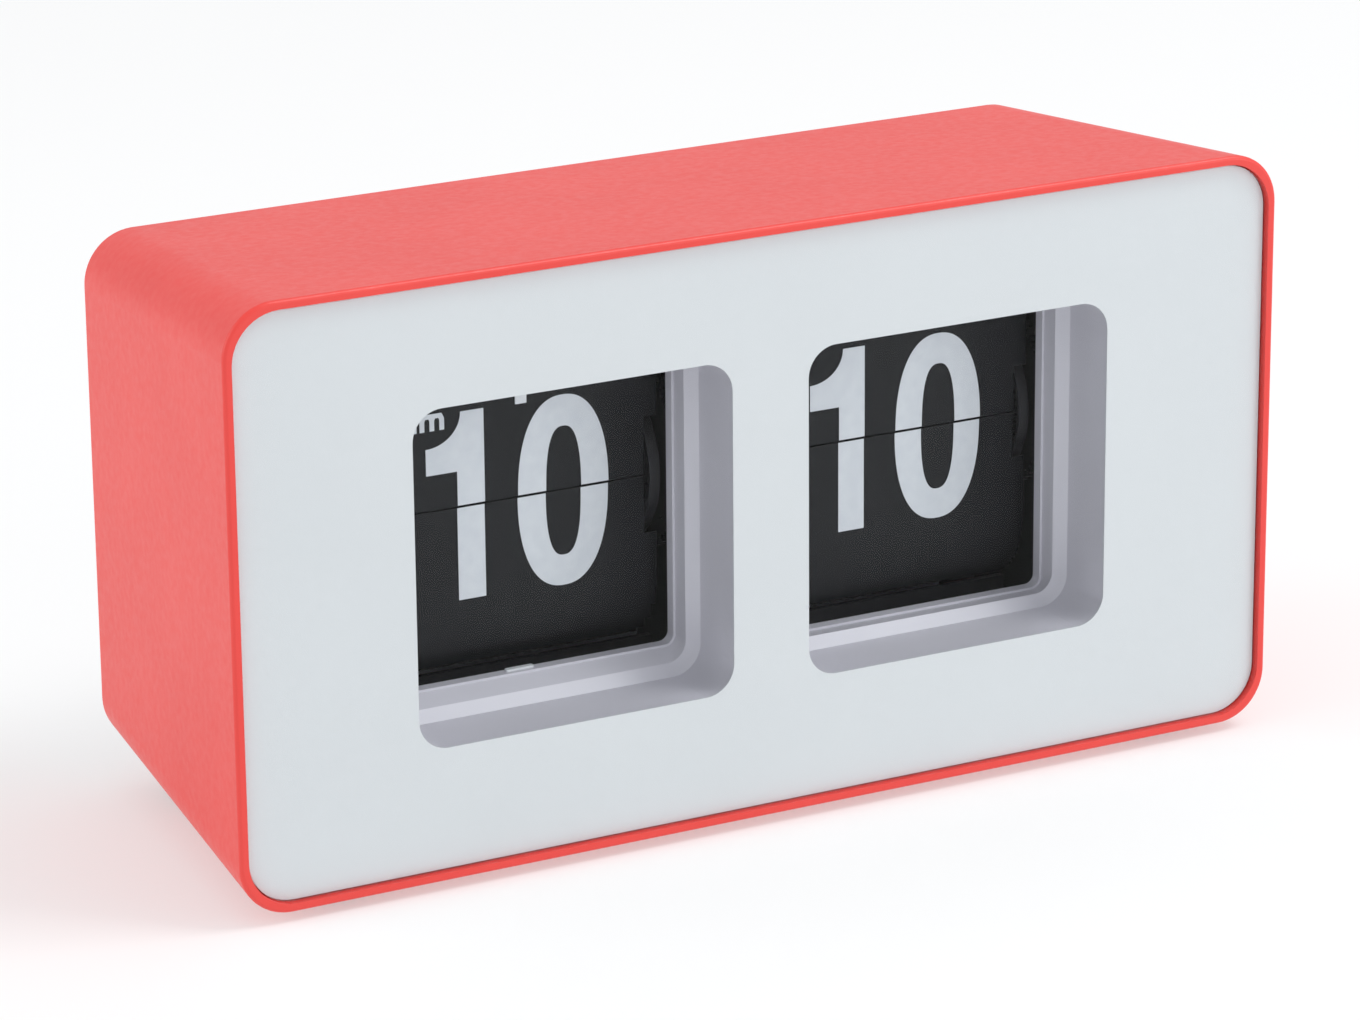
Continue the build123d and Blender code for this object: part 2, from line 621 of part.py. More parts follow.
# ================================================================ drums
def pin_wheel(x_inner, outward):
    """Disc that carries the leaf pins in a round groove in its inner face."""
    with BuildSketch(across(x_inner, *AXLE)) as disc:
        Circle(WHEEL_RADIUS)
        Circle(HUB_RADIUS, mode=Mode.SUBTRACT)
        with PolarLocations(7.6, 6):
            Circle(2.2, mode=Mode.SUBTRACT)
    extrude(disc.sketch, amount=outward * WHEEL_THICKNESS)
    with BuildSketch(across(x_inner, *AXLE)) as groove:
        Circle(GROOVE_OUTER)
        Circle(GROOVE_INNER, mode=Mode.SUBTRACT)
    extrude(groove.sketch, amount=outward * GROOVE_DEPTH, mode=Mode.SUBTRACT)


def drum_hub(stations):
    """Tube that turns on the main axle, as a row of (start, end, radius) lengths."""
    for x_start, x_end, radius in stations:
        discs(x_start, x_end, radius, (AXLE,))
    discs(stations[0][0], stations[-1][1], AXLE_RADIUS + RUNNING_GAP, (AXLE,), Mode.SUBTRACT)


HUB_SHOULDER = 8.0
HUB_OUTER_END = WINDOW_X + WHEEL_INNER + WHEEL_THICKNESS + 0.2

for side, name in ((-1, "hour"), (1, "minute")):
    for end, end_name in ((-1, "left"), (1, "right")):
        with BuildPart() as wheel:
            pin_wheel(side * WINDOW_X + end * WHEEL_INNER, end)
        finish(wheel, f"{name}_wheel_{end_name}")

with BuildPart() as hour_hub:
    drum_hub(
        (
            (-SIDE_PLATE_X + 0.4, -HUB_OUTER_END, HUB_END_RADIUS),
            (-HUB_OUTER_END, -HUB_SHOULDER, HUB_RADIUS),
            (-HUB_SHOULDER, -1.4, HUB_END_RADIUS),
        )
    )
finish(hour_hub, "hour_hub")

with BuildPart() as minute_hub:
    drum_hub(
        (
            (1.4, 2.4, HUB_END_RADIUS),
            (6.4, HUB_SHOULDER, HUB_END_RADIUS),
            (HUB_SHOULDER, HUB_OUTER_END, HUB_RADIUS),
            (HUB_OUTER_END, SIDE_PLATE_X - 0.4, HUB_END_RADIUS),
        )
    )
    discs(2.4, 6.4, 2.0, (AXLE,))
    discs(2.4, 6.4, AXLE_RADIUS + RUNNING_GAP, (AXLE,), Mode.SUBTRACT)
finish(minute_hub, "minute_hub")

with BuildPart() as hour_gear:
    gear(-6.6, -5.2, AXLE, HOUR_GEAR_TEETH, 0.0, HUB_END_RADIUS)
finish(hour_gear, "hour_gear")

with BuildPart() as minute_pinion:
    gear(2.4, 6.4, AXLE, MINUTE_PINION_TEETH, 0.0, 2.0)
finish(minute_pinion, "minute_pinion")

with BuildPart() as minute_gear:
    gear(GEAR_X, GEAR_X + 1.3, AXLE, MINUTE_GEAR_TEETH, 0.0, HUB_END_RADIUS)
finish(minute_gear, "minute_gear")

# ================================================================ counter shaft, 24 to 1
with BuildPart() as counter_shaft:
    discs(-7.8, 6.2, ARBOR_RADIUS, (COUNTER,))
finish(counter_shaft, "counter_shaft")

with BuildPart() as counter_gear:
    gear(3.8, 5.2, COUNTER, COUNTER_GEAR_TEETH, COUNTER_GEAR_PHASE, ARBOR_RADIUS)
finish(counter_gear, "counter_gear")

with BuildPart() as counter_pinion:
    gear(-7.4, -4.4, COUNTER, COUNTER_PINION_TEETH, COUNTER_PINION_PHASE, ARBOR_RADIUS)
finish(counter_pinion, "counter_pinion")

# ================================================================ drive
with BuildPart() as reduction_shaft:
    discs(GEAR_X - 0.2, SIDE_OUTER + 3.0, ARBOR_RADIUS, (REDUCTION,))
finish(reduction_shaft, "reduction_shaft")

with BuildPart() as reduction_pinion:
    gear(GEAR_X - 0.2, GEAR_X + 1.7, REDUCTION, REDUCTION_PINION_TEETH, REDUCTION_PINION_PHASE, ARBOR_RADIUS)
finish(reduction_pinion, "reduction_pinion")

with BuildPart() as reduction_gear:
    gear(SIDE_OUTER + 0.8, SIDE_OUTER + 2.1, REDUCTION, REDUCTION_GEAR_TEETH, 0.0, ARBOR_RADIUS)
finish(reduction_gear, "reduction_gear")

with BuildPart() as motor_pinion:
    gear(SIDE_OUTER + 0.5, SIDE_OUTER + 2.4, MOTOR, MOTOR_PINION_TEETH, MOTOR_PINION_PHASE, ARBOR_RADIUS)
finish(motor_pinion, "motor_pinion")

with BuildPart() as motor_rotor:
    discs(SIDE_OUTER + 0.5, MOTOR_X + 9.0, ARBOR_RADIUS, (MOTOR,))
    discs(MOTOR_X + 2.0, MOTOR_X + 9.0, 6.0, (MOTOR,))
finish(motor_rotor, "motor_rotor")

with BuildPart() as motor_can:
    with BuildSketch(across(MOTOR_X, *MOTOR)):
        Circle(MOTOR_RADIUS)
    extrude(amount=11.0)
    with BuildSketch(across(MOTOR_X + 1.2, *MOTOR)):
        Circle(MOTOR_RADIUS - 1.0)
    extrude(amount=9.0, mode=Mode.SUBTRACT)
    with BuildSketch(across(MOTOR_X, *MOTOR)):
        Circle(ARBOR_RADIUS + RUNNING_GAP)
    extrude(amount=1.2, mode=Mode.SUBTRACT)
    # ears for the two screws
    for y, z in MOTOR_POSTS:
        with BuildSketch(across(MOTOR_X)):
            with Locations((y, z)):
                Circle(2.6)
            with Locations(((y + MOTOR[0]) / 2, (z + MOTOR[1]) / 2)):
                turn = math.degrees(math.atan2(z - MOTOR[1], y - MOTOR[0]))
                Rectangle(11.0, 4.6, rotation=turn)
            with Locations(MOTOR):
                Circle(MOTOR_RADIUS - 0.5, mode=Mode.SUBTRACT)
            with Locations((y, z)):
                Circle(0.8 + SCREW_GAP, mode=Mode.SUBTRACT)
        extrude(amount=1.0)
finish(motor_can, "motor_can")

with BuildPart() as motor_screws:
    heads = [(MOTOR_X + 1.0, y, z) for y, z in MOTOR_POSTS]
    screws(heads, (-1, 0, 0), 4.4, shank=0.8, head=1.5, head_height=0.9)
finish(motor_screws, "motor_screws")

# ================================================================ setting wheel
with BuildPart() as setting_shaft:
    discs(GEAR_X - 0.2, SETTING_WHEEL_X + SETTING_WHEEL_WIDTH + 1.0, SETTING_SHAFT_RADIUS, (SETTING,))
finish(setting_shaft, "setting_shaft")

with BuildPart() as setting_gear:
    gear(GEAR_X - 0.1, GEAR_X + 1.5, SETTING, SETTING_GEAR_TEETH, SETTING_GEAR_PHASE, SETTING_SHAFT_RADIUS)
finish(setting_gear, "setting_gear")

with BuildPart() as setting_wheel:
    with BuildSketch(across(SETTING_WHEEL_X, *SETTING)):
        Circle(SETTING_WHEEL_RADIUS)
        with PolarLocations(SETTING_WHEEL_RADIUS + 0.15, 44):
            Circle(0.38, mode=Mode.SUBTRACT)
        Circle(SETTING_SHAFT_RADIUS, mode=Mode.SUBTRACT)
    extrude(amount=SETTING_WHEEL_WIDTH)
finish(setting_wheel, "setting_wheel")


# ================================================================ leaves
def leaf_profile(plane, tip, tail, notch):
    """Outline of a leaf with side notches, whose pins lie on the plane's X axis."""
    right_edge = (
        (NOTCH_HALF_WIDTH, -tail),
        (NOTCH_HALF_WIDTH, -TAB_HALF_WIDTH),
        (PIN_REACH, -TAB_HALF_WIDTH),
        (PIN_REACH, TAB_HALF_WIDTH),
        (NOTCH_HALF_WIDTH, TAB_HALF_WIDTH),
        (NOTCH_HALF_WIDTH, notch),
        (LEAF_HALF_WIDTH, notch),
        (LEAF_HALF_WIDTH, tip),
    )
    left_edge = [(-x, height) for x, height in reversed(right_edge)]
    with BuildSketch(plane) as profile:
        with BuildLine():
            Polyline(*right_edge, *left_edge, close=True)
        make_face()
    return profile.sketch


def pin_plane(angle, last):
    """Depth of a leaf's pins behind the axle; at the front each leaf keeps clear of the last one."""
    plane = -PIN_CIRCLE * math.cos(math.radians(angle))
    if abs(angle) < 90.0:
        plane = max(plane, last + LEAF_PITCH)
    return plane


def leaf_places(count, pitch):
    """Angle, depth and lean of each leaf: those behind the falling one, then those below it."""
    behind = []
    plane = -PIN_CIRCLE
    angle = 1.5 * pitch
    while angle < 180.0:
        plane = pin_plane(angle, plane)
        behind.append((angle, plane, max(angle - LEAN_START, 0.0)))
        angle += pitch
    below = []
    plane = -PIN_CIRCLE + LANDING_GAP - LEAF_PITCH
    angle = -0.5 * pitch
    while angle > -180.0:
        plane = pin_plane(angle, plane)
        below.append((angle, plane, min(angle + 360.0 - LEAN_START, 180.0)))
        angle -= pitch
    return behind, below


def leaves(places, centre_x, tip, tail, notch):
    """One leaf at each place."""
    for angle, plane, lean in places:
        turn = math.radians(lean)
        pins = (centre_x, AXLE_Y + plane, AXLE_Z + PIN_CIRCLE * math.sin(math.radians(angle)))
        upright = Plane(origin=pins, x_dir=(1, 0, 0), z_dir=(0, -math.cos(turn), math.sin(turn)))
        extrude(leaf_profile(upright, tip, tail, notch), amount=LEAF_THICKNESS / 2, both=True)
        for start, end in ((PIN_ROOT, PIN_REACH), (-PIN_REACH, -PIN_ROOT)):
            discs(centre_x + start, centre_x + end, PIN_RADIUS, ((pins[1], pins[2]),))


for side, name, count, size in (
    (-1, "hour", HOUR_LEAVES, (HOUR_TIP, HOUR_TAIL, HOUR_NOTCH)),
    (1, "minute", MINUTE_LEAVES, (MINUTE_TIP, MINUTE_TAIL, MINUTE_NOTCH)),
):
    pitch = 360.0 / count
    behind, below = leaf_places(count, pitch)
    with BuildPart() as flap:
        leaves([(pitch / 2, -PIN_CIRCLE, 0.0)], side * WINDOW_X, *size)
    finish(flap, f"{name}_flap")
    with BuildPart() as next_leaf:
        leaves(behind[:1], side * WINDOW_X, *size)
    finish(next_leaf, f"{name}_next_leaf")
    with BuildPart() as lower_leaf:
        leaves(below[:1], side * WINDOW_X, *size)
    finish(lower_leaf, f"{name}_lower_leaf")
    with BuildPart() as leaf_stack:
        leaves(behind[1:] + below[1:], side * WINDOW_X, *size)
    finish(leaf_stack, f"{name}_leaf_stack")

# ================================================================ hold-back springs
BAR_Y = -10.4
BAR_Z = 78.4
BAR_SCREW_Y = -9.8
FINGER_X = 0.9
FINGER_Y = AXLE_Y - PIN_CIRCLE - 0.4
FINGER_WIDTH = 1.9
FINGER_THICKNESS = 0.25
HOUR_FINGER_TIP = MID_Z + 18.6
MINUTE_FINGER_TIP = MID_Z + 20.4

with BuildPart() as holdback_bar:
    with BuildSketch(level(BAR_Z)):
        with Locations((0, BAR_Y)):
            RectangleRounded(2 * SIDE_PLATE_X, 3.6, 0.5)
    extrude(amount=3.0)
    with BuildSketch(level(BAR_Z)):
        with Locations(*[(s * WINDOW_X + FINGER_X, BAR_SCREW_Y) for s in (-1, 1)]):
            Circle(0.8 + SCREW_GAP)
    extrude(amount=3.0, mode=Mode.SUBTRACT)
    # clear of the centre plate
    with BuildSketch(across(-PLATE_THICKNESS / 2)):
        with BuildLine():
            Polyline(*PLATE_OUTLINE, close=True)
        make_face()
    extrude(amount=PLATE_THICKNESS, mode=Mode.SUBTRACT)
finish(holdback_bar, "holdback_bar")

for side, name, tip_z in ((-1, "hour", HOUR_FINGER_TIP), (1, "minute", MINUTE_FINGER_TIP)):
    with BuildPart() as finger:
        with BuildSketch(Plane.YZ.offset(side * WINDOW_X + FINGER_X)):
            with BuildLine():
                Polyline(
                    (FINGER_Y, tip_z),
                    (FINGER_Y, BAR_Z),
                    (-8.4, BAR_Z),
                    (-8.4, BAR_Z - FINGER_THICKNESS),
                    (FINGER_Y + FINGER_THICKNESS, BAR_Z - FINGER_THICKNESS),
                    (FINGER_Y + FINGER_THICKNESS, tip_z),
                    close=True,
                )
            make_face()
        extrude(amount=FINGER_WIDTH / 2, both=True)
        with BuildSketch(level(BAR_Z - FINGER_THICKNESS)):
            with Locations((side * WINDOW_X + FINGER_X, BAR_SCREW_Y)):
                RectangleRounded(4.6, 2.8, 0.5)
        extrude(amount=FINGER_THICKNESS)
        with BuildSketch(level(BAR_Z - FINGER_THICKNESS)):
            with Locations((side * WINDOW_X + FINGER_X, BAR_SCREW_Y)):
                Circle(0.8 + SCREW_GAP)
        extrude(amount=FINGER_THICKNESS, mode=Mode.SUBTRACT)
    finish(finger, f"{name}_holdback_spring")

with BuildPart() as holdback_screws:
    heads = [(s * WINDOW_X + FINGER_X, BAR_SCREW_Y, BAR_Z - FINGER_THICKNESS) for s in (-1, 1)]
    screws(heads, (0, 0, 1), 2.6, shank=0.8, head=1.2, head_height=0.7)
finish(holdback_screws, "holdback_screws")

# ================================================================ battery and electrics
HOLDER_FRONT = CELL_Y - CELL_RADIUS - 0.4 - HOLDER_WALL
HOLDER_BOTTOM = CELL_Z - CELL_RADIUS - 0.3 - HOLDER_WALL
HOLDER_TOP = CELL_Z + CELL_RADIUS + 0.3 + HOLDER_WALL
BAY_END = HOLDER_HALF_LENGTH - HOLDER_WALL

with BuildPart() as battery_holder:
    with BuildSketch(level(HOLDER_BOTTOM)):
        with Locations((0, (HOLDER_FRONT + COVER_Y) / 2)):
            Rectangle(2 * HOLDER_HALF_LENGTH, COVER_Y - HOLDER_FRONT)
    extrude(amount=HOLDER_TOP - HOLDER_BOTTOM)
    for s in (-1, 1):
        with BuildSketch(level(HOLDER_BOTTOM + HOLDER_WALL)):
            with Locations((s * (BAY_END + 0.6) / 2, (HOLDER_FRONT + HOLDER_WALL + COVER_Y) / 2)):
                Rectangle(BAY_END - 0.6, COVER_Y - HOLDER_FRONT - HOLDER_WALL)
        extrude(amount=HOLDER_TOP - HOLDER_BOTTOM - 2 * HOLDER_WALL, mode=Mode.SUBTRACT)
    # pocket behind the door's latch tongue
    with BuildSketch(level(HOLDER_BOTTOM + HOLDER_WALL)):
        with Locations((0, COVER_Y - 1.0)):
            Rectangle(12.0, 2.0)
    extrude(amount=HOLDER_TOP - HOLDER_BOTTOM - 2 * HOLDER_WALL, mode=Mode.SUBTRACT)
finish(battery_holder, "battery_holder")

with BuildPart() as battery_cells:
    for x_start in (-51.6, 1.4):
        discs(x_start, x_start + CELL_LENGTH, CELL_RADIUS, ((CELL_Y, CELL_Z),))
    for x_nub in (-51.6 - CELL_NUB, 1.4 + CELL_LENGTH):
        discs(x_nub, x_nub + CELL_NUB, 2.7, ((CELL_Y, CELL_Z),))
finish(battery_cells, "battery_cells")

with BuildPart() as battery_contacts:
    for x_start in (-BAY_END, -1.0, 0.6, BAY_END - 0.4):
        with BuildSketch(across(x_start)):
            with Locations((CELL_Y, CELL_Z)):
                RectangleRounded(9.0, 9.0, 1.0)
        extrude(amount=0.4)
finish(battery_contacts, "battery_contacts")

with BuildPart() as circuit_board:
    with BuildSketch(across(BOARD_X)):
        with Locations((6.0, 38.0)):
            RectangleRounded(30.0, 22.0, 1.5)
        with Locations(*BOARD_PEGS):
            Circle(0.9, mode=Mode.SUBTRACT)
    extrude(amount=BOARD_THICKNESS)
finish(circuit_board, "circuit_board")

with BuildPart() as clock_chip:
    with BuildSketch(across(BOARD_X - 1.6, 5.0, 39.0)):
        RectangleRounded(8.0, 6.0, 0.3)
    extrude(amount=1.6)
finish(clock_chip, "clock_chip")

with BuildPart() as quartz_crystal:
    with BuildSketch(level(36.0)):
        with Locations((BOARD_X - 1.5, 13.6)):
            Circle(1.5)
    extrude(amount=8.0)
finish(quartz_crystal, "quartz_crystal")

for piece in pieces:
    export_step(piece, f"parts/{piece.label}.step")
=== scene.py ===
import json
import math
import bmesh
import bpy
from mathutils import Matrix, Vector


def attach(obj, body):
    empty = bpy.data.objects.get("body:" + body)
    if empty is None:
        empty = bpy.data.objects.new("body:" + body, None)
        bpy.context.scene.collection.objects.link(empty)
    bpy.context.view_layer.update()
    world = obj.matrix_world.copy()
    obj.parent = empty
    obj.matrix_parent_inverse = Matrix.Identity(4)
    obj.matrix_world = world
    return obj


# Flip number clock: camera, light, finishes and the printing on its leaves.
# Metres, +Z up, the front faces -Y, as in the CAD model.

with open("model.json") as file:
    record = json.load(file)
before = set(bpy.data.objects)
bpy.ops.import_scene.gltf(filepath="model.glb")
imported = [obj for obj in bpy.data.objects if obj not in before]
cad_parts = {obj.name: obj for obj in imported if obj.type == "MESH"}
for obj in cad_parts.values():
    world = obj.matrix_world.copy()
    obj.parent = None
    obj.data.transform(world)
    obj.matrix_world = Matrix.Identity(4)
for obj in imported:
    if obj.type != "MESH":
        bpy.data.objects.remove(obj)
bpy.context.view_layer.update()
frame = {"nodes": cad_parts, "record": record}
nodes = frame["nodes"]
scene = bpy.context.scene
MM = 0.001

# ================================================================ camera
CAMERA_PLACE = Vector((-0.3927, -0.7438, 0.3194))
CAMERA_AZIMUTH = math.radians(27.91)
CAMERA_ELEVATION = math.radians(18.27)
CAMERA_ROLL = math.radians(-0.507)
CAMERA_LENS = 149.1
CAMERA_SHIFT = -0.0007


def make_camera():
    data = bpy.data.cameras.new("camera")
    data.lens = CAMERA_LENS
    data.sensor_width = 36.0
    data.shift_x = CAMERA_SHIFT
    data.shift_y = CAMERA_SHIFT
    data.clip_start = 0.05
    data.clip_end = 20.0
    camera = bpy.data.objects.new("camera", data)
    scene.collection.objects.link(camera)
    level = math.cos(CAMERA_ELEVATION)
    look = Vector((
        math.sin(CAMERA_AZIMUTH) * level,
        math.cos(CAMERA_AZIMUTH) * level,
        -math.sin(CAMERA_ELEVATION),
    ))
    turn = look.to_track_quat("-Z", "Y").to_matrix().to_4x4()
    turn = turn @ Matrix.Rotation(CAMERA_ROLL, 4, "Z")
    camera.matrix_world = Matrix.Translation(CAMERA_PLACE) @ turn
    scene.camera = camera


make_camera()


# ================================================================ node helpers
def new_material(name):
    """A node material that holds one shader, with its tree and that shader."""
    material = bpy.data.materials.new(name)
    material.use_nodes = True
    tree = material.node_tree
    tree.nodes.clear()
    output = tree.nodes.new("ShaderNodeOutputMaterial")
    shader = tree.nodes.new("ShaderNodeBsdfPrincipled")
    tree.links.new(shader.outputs["BSDF"], output.inputs["Surface"])
    return material, tree, shader


def places(tree, stretch=(1.0, 1.0, 1.0)):
    """Coordinates in metres, fixed to the object, stretched along its axes."""
    source = tree.nodes.new("ShaderNodeTexCoord")
    mapping = tree.nodes.new("ShaderNodeMapping")
    mapping.inputs["Scale"].default_value = stretch
    tree.links.new(source.outputs["Object"], mapping.inputs["Vector"])
    return mapping.outputs["Vector"]


def noise(tree, vector, scale, detail=3.0, rough=0.55):
    node = tree.nodes.new("ShaderNodeTexNoise")
    node.inputs["Scale"].default_value = scale
    node.inputs["Detail"].default_value = detail
    node.inputs["Roughness"].default_value = rough
    tree.links.new(vector, node.inputs["Vector"])
    return node.outputs["Fac"]


def ramp(tree, value, stops):
    """Colours along a value, as (position, colour) stops."""
    node = tree.nodes.new("ShaderNodeValToRGB")
    while len(node.color_ramp.elements) < len(stops):
        node.color_ramp.elements.new(0.5)
    for element, (position, colour) in zip(node.color_ramp.elements, stops):
        element.position = position
        element.color = (*colour, 1.0)
    tree.links.new(value, node.inputs["Fac"])
    return node.outputs["Color"]


def spread(tree, value, low, high):
    """The noise value mapped to a range."""
    node = tree.nodes.new("ShaderNodeMapRange")
    node.inputs["From Min"].default_value = 0.3
    node.inputs["From Max"].default_value = 0.7
    node.inputs["To Min"].default_value = low
    node.inputs["To Max"].default_value = high
    tree.links.new(value, node.inputs["Value"])
    return node.outputs["Result"]


def shade(colour, factor):
    return tuple(min(1.0, c * factor) for c in colour)


def add_bump(tree, shader, height, distance, strength=1.0, before=None):
    node = tree.nodes.new("ShaderNodeBump")
    node.inputs["Distance"].default_value = distance
    node.inputs["Strength"].default_value = strength
    tree.links.new(height, node.inputs["Height"])
    if before is not None:
        tree.links.new(before, node.inputs["Normal"])
    tree.links.new(node.outputs["Normal"], shader.inputs["Normal"])
    return node.outputs["Normal"]


def moulded(
    name,
    colour,
    roughness,
    grain=3000.0,
    depth=0.012,
    vary=0.05,
    cloud=90.0,
    gloss=0.5,
    worn=0.05,
):
    """Moulded plastic: faint clouding (vary), a fine grain depth mm deep and uneven gloss (worn)."""
    material, tree, shader = new_material(name)
    where = places(tree)
    clouds = noise(tree, where, cloud, 4.0)
    stops = ((0.3, shade(colour, 1.0 - vary)), (0.7, shade(colour, 1.0 + vary)))
    tree.links.new(ramp(tree, clouds, stops), shader.inputs["Base Color"])
    polish = noise(tree, where, cloud * 5.0, 5.0)
    tree.links.new(spread(tree, polish, roughness - worn, roughness + worn), shader.inputs["Roughness"])
    add_bump(tree, shader, noise(tree, where, grain, 2.0), depth * MM)
    shader.inputs["Specular IOR Level"].default_value = gloss
    return material


def metal(name, colour, roughness, stretch, grain=900.0, depth=0.004):
    """Metal with drawn or brushed lines across one axis."""
    material, tree, shader = new_material(name)
    where = places(tree, stretch)
    lines = noise(tree, where, grain, 4.0, 0.7)
    stops = ((0.3, shade(colour, 0.86)), (0.7, shade(colour, 1.1)))
    tree.links.new(ramp(tree, lines, stops), shader.inputs["Base Color"])
    tree.links.new(spread(tree, lines, roughness - 0.07, roughness + 0.1), shader.inputs["Roughness"])
    add_bump(tree, shader, lines, depth * MM)
    shader.inputs["Metallic"].default_value = 1.0
    return material


# ================================================================ finishes
CASE_MIDDLE = (0.0, 0.0, 0.0488)
CASE_HOLLOW = (0.0815, 1.0, 0.0385)  # half sizes of the space inside the case, at its smallest
TURNED_INWARD = -0.01
PAINTED_SHADE_MIDDLE = -0.0011  # the red paint also covers both rims: the painted shade starts inside them
PAINTED_SHADE_REACH = 0.0301


def painted_shade_mask(tree):
    """1 where a wall behind the glass faces the middle line of the case, 0 on the outside: the mask for the
    painted shade inside the case.
    """
    source = tree.nodes.new("ShaderNodeTexCoord")
    centred = tree.nodes.new("ShaderNodeVectorMath")
    centred.operation = "SUBTRACT"
    centred.inputs[1].default_value = CASE_MIDDLE
    across = tree.nodes.new("ShaderNodeVectorMath")
    across.operation = "MULTIPLY"
    across.inputs[1].default_value = (1.0, 0.0, 1.0)
    outward = tree.nodes.new("ShaderNodeVectorMath")
    outward.operation = "DOT_PRODUCT"
    inside = tree.nodes.new("ShaderNodeMath")
    inside.operation = "LESS_THAN"
    inside.inputs[1].default_value = TURNED_INWARD
    tree.links.new(source.outputs["Object"], centred.inputs[0])
    tree.links.new(centred.outputs["Vector"], across.inputs[0])
    tree.links.new(across.outputs["Vector"], outward.inputs[0])
    tree.links.new(source.outputs["Normal"], outward.inputs[1])
    tree.links.new(outward.outputs["Value"], inside.inputs[0])
    sized = tree.nodes.new("ShaderNodeVectorMath")
    sized.operation = "DIVIDE"
    sized.inputs[1].default_value = CASE_HOLLOW
    reach = tree.nodes.new("ShaderNodeVectorMath")
    reach.operation = "ABSOLUTE"
    reach_parts = tree.nodes.new("ShaderNodeSeparateXYZ")
    furthest = tree.nodes.new("ShaderNodeMath")
    furthest.operation = "MAXIMUM"
    hollow = tree.nodes.new("ShaderNodeMath")
    hollow.operation = "LESS_THAN"
    hollow.inputs[1].default_value = 1.0
    either = tree.nodes.new("ShaderNodeMath")
    either.operation = "MAXIMUM"
    tree.links.new(across.outputs["Vector"], sized.inputs[0])
    tree.links.new(sized.outputs["Vector"], reach.inputs[0])
    tree.links.new(reach.outputs["Vector"], reach_parts.inputs["Vector"])
    tree.links.new(reach_parts.outputs["X"], furthest.inputs[0])
    tree.links.new(reach_parts.outputs["Z"], furthest.inputs[1])
    tree.links.new(furthest.outputs["Value"], hollow.inputs[0])
    tree.links.new(inside.outputs["Value"], either.inputs[0])
    tree.links.new(hollow.outputs["Value"], either.inputs[1])
    split = tree.nodes.new("ShaderNodeSeparateXYZ")
    deep = tree.nodes.new("ShaderNodeMath")
    deep.operation = "COMPARE"
    deep.inputs[1].default_value = PAINTED_SHADE_MIDDLE
    deep.inputs[2].default_value = PAINTED_SHADE_REACH
    both = tree.nodes.new("ShaderNodeMath")
    both.operation = "MULTIPLY"
    tree.links.new(source.outputs["Object"], split.inputs["Vector"])
    tree.links.new(split.outputs["Y"], deep.inputs[0])
    tree.links.new(either.outputs["Value"], both.inputs[0])
    tree.links.new(deep.outputs["Value"], both.inputs[1])
    return both.outputs["Value"]


def case_red():
    """Coral-red satin paint with a very fine orange peel, outside; near-black painted shade on the walls
    inside the case.
    """
    material, tree, shader = new_material("case_red")
    where = places(tree)
    clouds = noise(tree, where, 45.0, 4.0)
    paint = ramp(tree, clouds, ((0.3, (0.77, 0.040, 0.030)), (0.7, (0.80, 0.047, 0.036))))
    # near-black painted shade for the walls inside the case, where they lie in shadow
    painted_inside_shade = ramp(tree, clouds, ((0.3, (0.016, 0.016, 0.018)), (0.7, (0.021, 0.021, 0.023))))
    paint_and_painted_shade = tree.nodes.new("ShaderNodeMixRGB")
    tree.links.new(painted_shade_mask(tree), paint_and_painted_shade.inputs["Fac"])
    tree.links.new(paint, paint_and_painted_shade.inputs["Color1"])
    tree.links.new(painted_inside_shade, paint_and_painted_shade.inputs["Color2"])
    tree.links.new(paint_and_painted_shade.outputs["Color"], shader.inputs["Base Color"])
    polish = noise(tree, where, 700.0, 4.0)
    tree.links.new(spread(tree, polish, 0.36, 0.46), shader.inputs["Roughness"])
    peel = add_bump(tree, shader, noise(tree, where, 900.0, 2.0), 0.002 * MM)
    add_bump(tree, shader, noise(tree, where, 4200.0, 2.0), 0.0035 * MM, 0.8, peel)
    shader.inputs["Specular IOR Level"].default_value = 0.62
    return material


def front_pane(name, clear, facing_gloss, least, most):
    """Flat polished glass: clear from in front, reflecting more at a slant, with faint smears."""
    material, tree, shader = new_material(name)
    tree.nodes.remove(shader)
    output = tree.nodes["Material Output"]
    where = places(tree)
    smear = noise(tree, where, 60.0, 5.0)
    clear_part = tree.nodes.new("ShaderNodeBsdfTransparent")
    clear_part.inputs["Color"].default_value = (*clear, 1.0)
    gloss_part = tree.nodes.new("ShaderNodeBsdfGlossy")
    tree.links.new(spread(tree, smear, least, most), gloss_part.inputs["Roughness"])
    slant = tree.nodes.new("ShaderNodeLayerWeight")
    steep = tree.nodes.new("ShaderNodeMath")
    steep.operation = "POWER"
    steep.inputs[1].default_value = 5.0
    share = tree.nodes.new("ShaderNodeMath")
    share.operation = "MULTIPLY_ADD"
    share.inputs[1].default_value = 1.0 - facing_gloss
    share.inputs[2].default_value = facing_gloss
    tree.links.new(slant.outputs["Facing"], steep.inputs[0])
    tree.links.new(steep.outputs["Value"], share.inputs[0])
    mix = tree.nodes.new("ShaderNodeMixShader")
    tree.links.new(share.outputs["Value"], mix.inputs["Fac"])
    tree.links.new(clear_part.outputs["BSDF"], mix.inputs[1])
    tree.links.new(gloss_part.outputs["BSDF"], mix.inputs[2])
    tree.links.new(mix.outputs["Shader"], output.inputs["Surface"])
    return material


